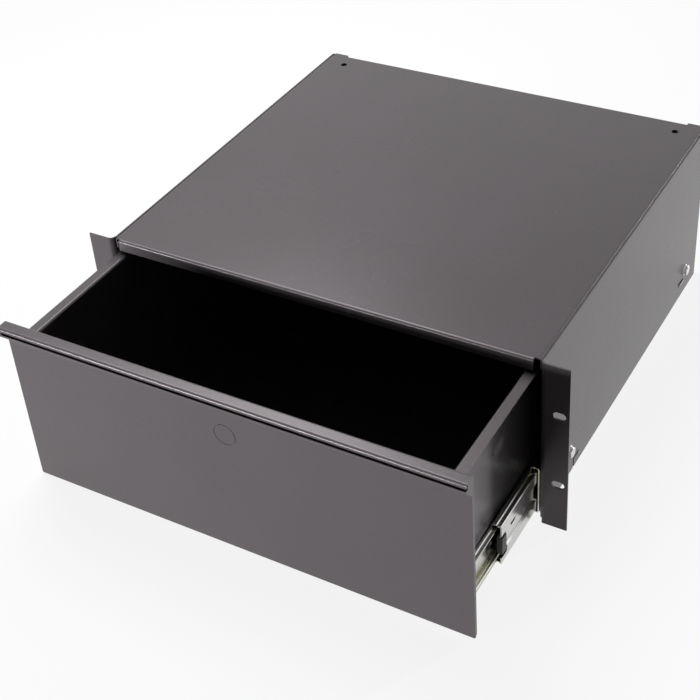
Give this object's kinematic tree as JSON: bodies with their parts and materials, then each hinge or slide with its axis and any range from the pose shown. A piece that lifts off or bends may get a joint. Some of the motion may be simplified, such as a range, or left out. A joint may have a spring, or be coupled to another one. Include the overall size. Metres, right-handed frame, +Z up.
{
  "type": "sliding rack drawer",
  "caption": "Rack-mount drawer: a sheet-metal case with slotted ears and an open-topped tray that pulls out on telescopic ball slides, with a folded full-width pull.",
  "frame": {"origin": "centre of the four rack slots, on the front face of the rack ears", "axes": "+X to the right seen from the front, +Y back into the rack, +Z up"},
  "size_m": [0.4826, 0.563, 0.177],
  "materials": {
    "powder_coat": "fine-textured semi-matte charcoal powder coat",
    "zinc_plate": "bright zinc plate with a faint yellow tint",
    "fastener_zinc": "zinc plated",
    "moulded_plastic": "moulded black plastic"
  },
  "bodies": {
    "case": {"top_pan": "powder_coat", "back_panel": "powder_coat", "front_brace": "powder_coat", "rear_brace": "powder_coat", "side_panel_right": "powder_coat", "side_panel_left": "powder_coat", "slide_fixed_member_right": "zinc_plate", "slide_fixed_member_left": "zinc_plate", "slide_rear_buffer_right": "moulded_plastic", "slide_rear_buffer_left": "moulded_plastic", "slide_bolts_right": "fastener_zinc", "slide_bolts_left": "fastener_zinc"},
    "drawer": {"front_panel": "powder_coat", "inner_front": "powder_coat", "tray_trough": "powder_coat", "tray_front_wall": "powder_coat", "tray_back_wall": "powder_coat", "slide_inner_member_right": "zinc_plate", "slide_inner_member_left": "zinc_plate", "lever_pin_right": "fastener_zinc", "lever_pin_left": "fastener_zinc"},
    "middle_right": {"slide_middle_member_right": "zinc_plate", "slide_front_buffer_right": "moulded_plastic"},
    "outer_cage_right": {"slide_outer_cage_right": "zinc_plate"},
    "inner_cage_right": {"slide_inner_cage_right": "zinc_plate"},
    "lever_right": {"release_lever_right": "moulded_plastic"},
    "middle_left": {"slide_middle_member_left": "zinc_plate", "slide_front_buffer_left": "moulded_plastic"},
    "outer_cage_left": {"slide_outer_cage_left": "zinc_plate"},
    "inner_cage_left": {"slide_inner_cage_left": "zinc_plate"},
    "lever_left": {"release_lever_left": "moulded_plastic"}
  },
  "joints": [
    {"name": "drawer_slide", "type": "slide", "parent": "case", "child": "drawer", "axis": [0, -1, 0], "range_m": [-0.139, 0.241]},
    {"name": "middle_slide_right", "type": "slide", "parent": "case", "child": "middle_right", "axis": [0, -1, 0], "range_m": [-0.0695, 0.1205]},
    {"name": "outer_cage_slide_right", "type": "slide", "parent": "case", "child": "outer_cage_right", "axis": [0, -1, 0], "range_m": [-0.03475, 0.06025]},
    {"name": "inner_cage_slide_right", "type": "slide", "parent": "case", "child": "inner_cage_right", "axis": [0, -1, 0], "range_m": [-0.10425, 0.18075]},
    {"name": "release_right", "type": "hinge", "parent": "drawer", "child": "lever_right", "pos_m": [0.2042, 0.0828, -0.0555], "axis": [1, 0, 0], "range_deg": [-10, 0], "stiffness_Nm_per_rad": 0.1},
    {"name": "middle_slide_left", "type": "slide", "parent": "case", "child": "middle_left", "axis": [0, -1, 0], "range_m": [-0.0695, 0.1205]},
    {"name": "outer_cage_slide_left", "type": "slide", "parent": "case", "child": "outer_cage_left", "axis": [0, -1, 0], "range_m": [-0.03475, 0.06025]},
    {"name": "inner_cage_slide_left", "type": "slide", "parent": "case", "child": "inner_cage_left", "axis": [0, -1, 0], "range_m": [-0.10425, 0.18075]},
    {"name": "release_left", "type": "hinge", "parent": "drawer", "child": "lever_left", "pos_m": [-0.2042, 0.0828, -0.0555], "axis": [-1, 0, 0], "range_deg": [-10, 0], "stiffness_Nm_per_rad": 0.1}
  ],
  "couplings": [
    {"joint": "middle_slide_right", "follows": "drawer_slide", "ratio": 0.5},
    {"joint": "outer_cage_slide_right", "follows": "drawer_slide", "ratio": 0.25},
    {"joint": "inner_cage_slide_right", "follows": "drawer_slide", "ratio": 0.75},
    {"joint": "middle_slide_left", "follows": "drawer_slide", "ratio": 0.5},
    {"joint": "outer_cage_slide_left", "follows": "drawer_slide", "ratio": 0.25},
    {"joint": "inner_cage_slide_left", "follows": "drawer_slide", "ratio": 0.75}
  ]
}
